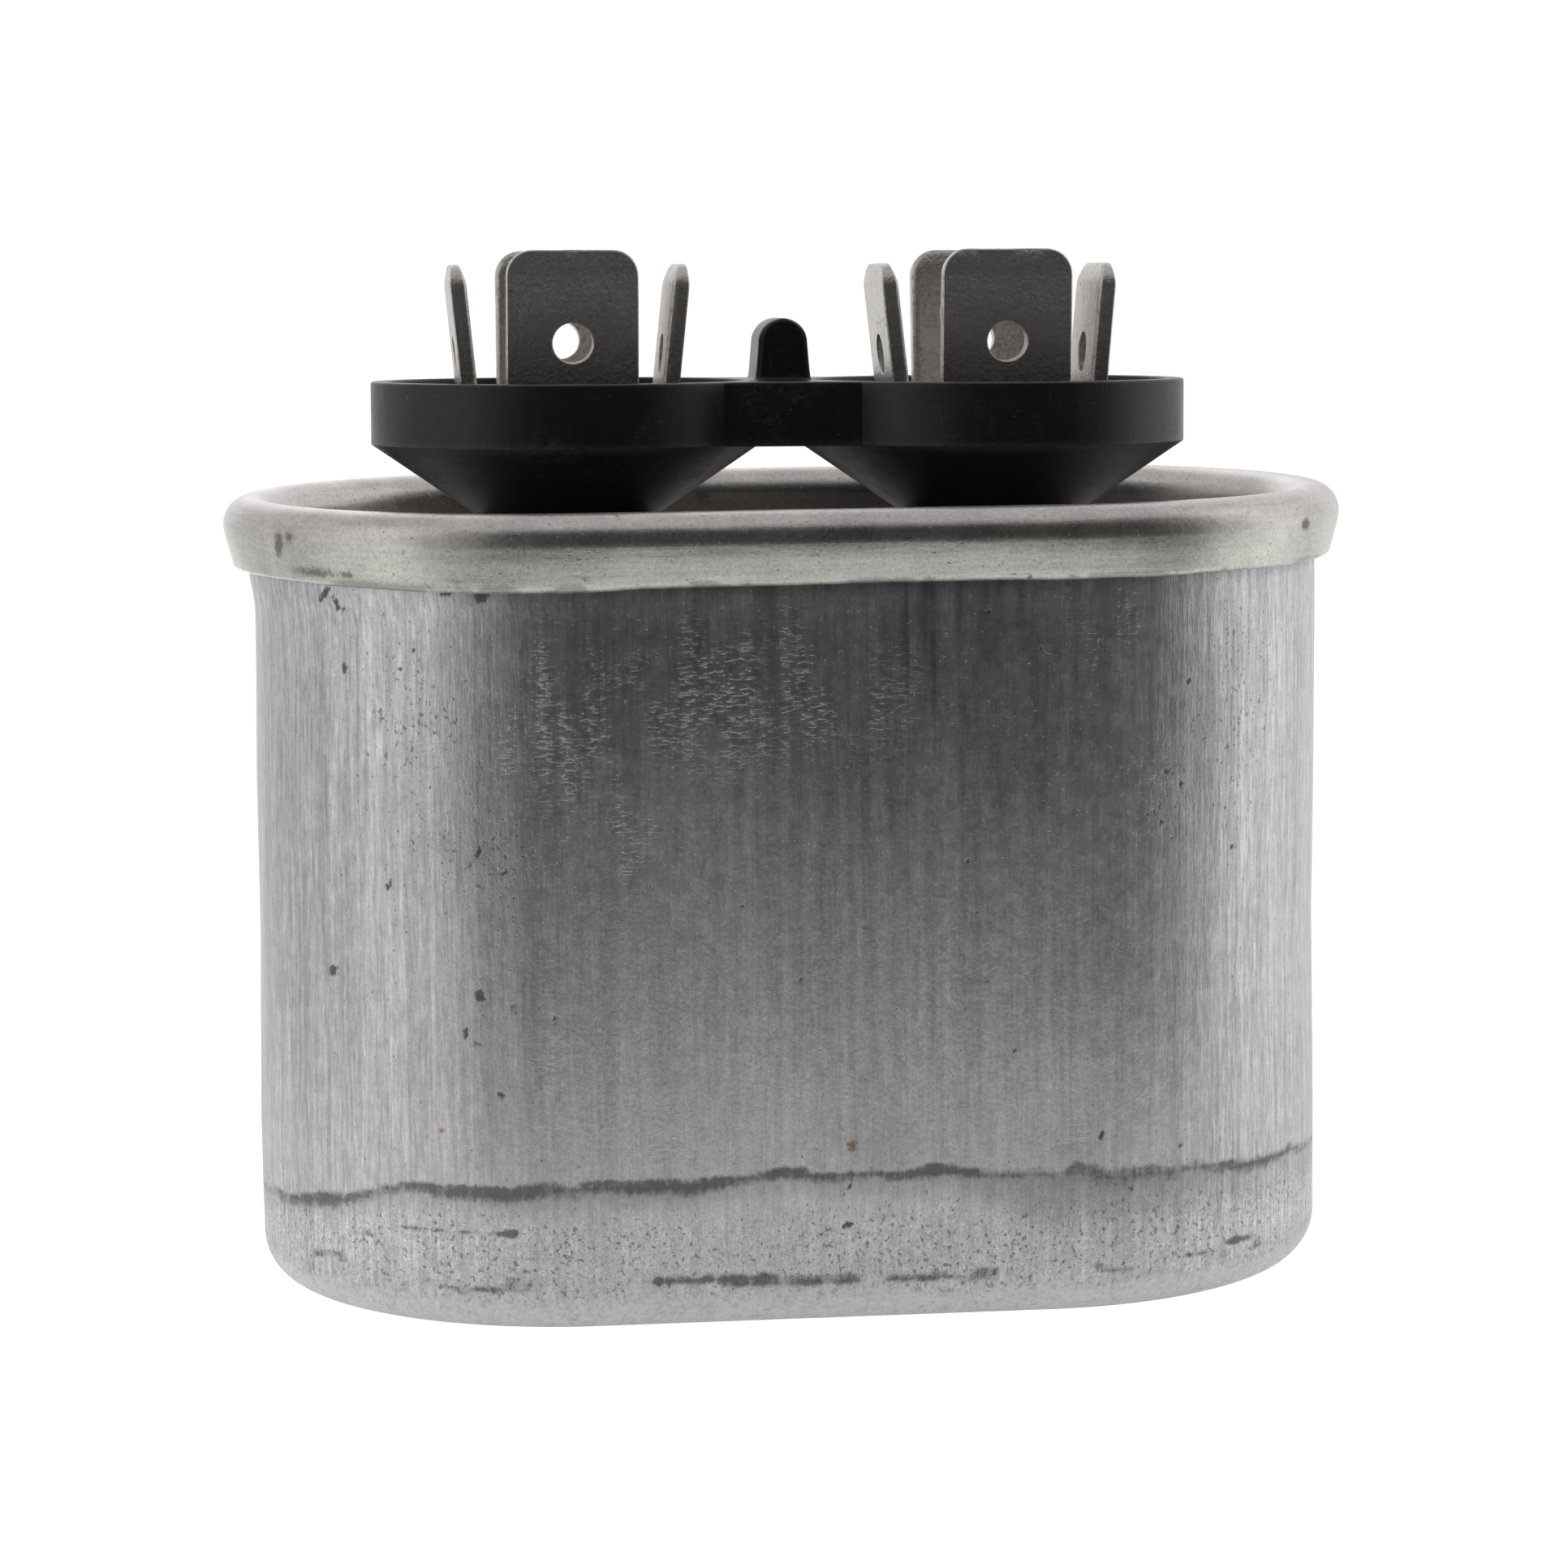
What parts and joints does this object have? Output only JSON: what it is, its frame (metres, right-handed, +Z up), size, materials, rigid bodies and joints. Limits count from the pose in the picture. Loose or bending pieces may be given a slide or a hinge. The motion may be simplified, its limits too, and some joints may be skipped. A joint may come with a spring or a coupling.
{
  "type": "motor run capacitor",
  "caption": "Oval motor run capacitor: drawn aluminium can, rolled steel cover seam, black twin-cup terminal block and four-blade push-on terminals.",
  "frame": {"origin": "centre of the can's flat base, where the part stands", "axes": "+X along the oval, +Y across it, +Z up towards the terminals"},
  "size_m": [0.055, 0.0332, 0.0504],
  "materials": {
    "can": "drawn, dull, scuffed",
    "cover": "tinned sheet, satin",
    "compound": "soft sealing compound",
    "block": "black moulded thermoset, satin",
    "terminal": "tin plated stamping, satin",
    "rivet": "plated",
    "gasket": "black rubber",
    "bush": "natural moulding",
    "washer": "plated",
    "board": "phenolic board",
    "lug": "stamped strip",
    "lead": "tinned flat lead",
    "sleeve": "flattened sleeve",
    "film": "metallised film roll",
    "core": "natural moulding",
    "spray": "sprayed metal, rough",
    "wrap": "clear film layers",
    "insulator": "pressboard"
  },
  "bodies": {
    "root": {"can": "can", "cover": "cover", "seam_compound": "compound", "terminal_block": "block", "terminal_left": "terminal", "terminal_right": "terminal", "rivet_left": "rivet", "rivet_right": "rivet", "gasket_left": "gasket", "gasket_right": "gasket", "bush_left": "bush", "bush_right": "bush", "washer_left": "washer", "washer_right": "washer", "breaker_plate": "board", "lug_left": "lug", "lug_right": "lug", "lead_short": "lead", "lead_long": "lead", "lead_sleeve": "sleeve", "winding": "film", "winding_core": "core", "end_spray_top": "spray", "end_spray_bottom": "spray", "element_wrap": "wrap", "bottom_insulator": "insulator"}
  },
  "joints": []
}
